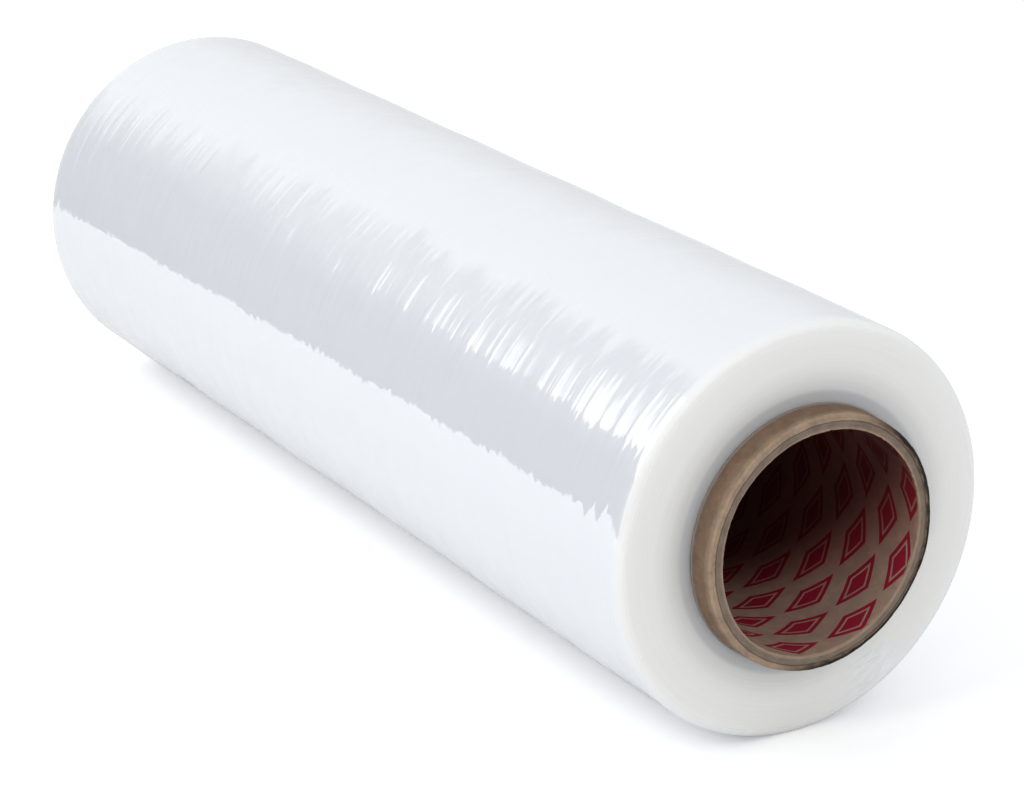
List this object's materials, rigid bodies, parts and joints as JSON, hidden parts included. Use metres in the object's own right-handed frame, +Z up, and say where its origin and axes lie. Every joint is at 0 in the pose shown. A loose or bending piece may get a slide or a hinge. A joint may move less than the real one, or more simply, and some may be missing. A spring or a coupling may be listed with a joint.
{
  "type": "stretch wrap roll",
  "caption": "Roll of clear stretch film wound on a spiral cardboard tube that sticks out at both ends, lying on its side, for wrapping pallets and boxes.",
  "frame": {"origin": "on the surface that the roll lies on, halfway along the roll and under its axis, in the middle of the film's small flat spot", "axes": "+X along the roll's axis, towards the end that the picture shows; +Y across the roll; +Z up"},
  "size_m": [0.471, 0.143, 0.1423],
  "materials": {
    "stretch_film": "glossy, milky white where many clear turns lie on each other",
    "core_board": "matt kraft board with a sawn edge and a printed inner ply"
  },
  "bodies": {
    "root": {"film_roll": "stretch_film", "cardboard_core": "core_board"}
  },
  "joints": []
}
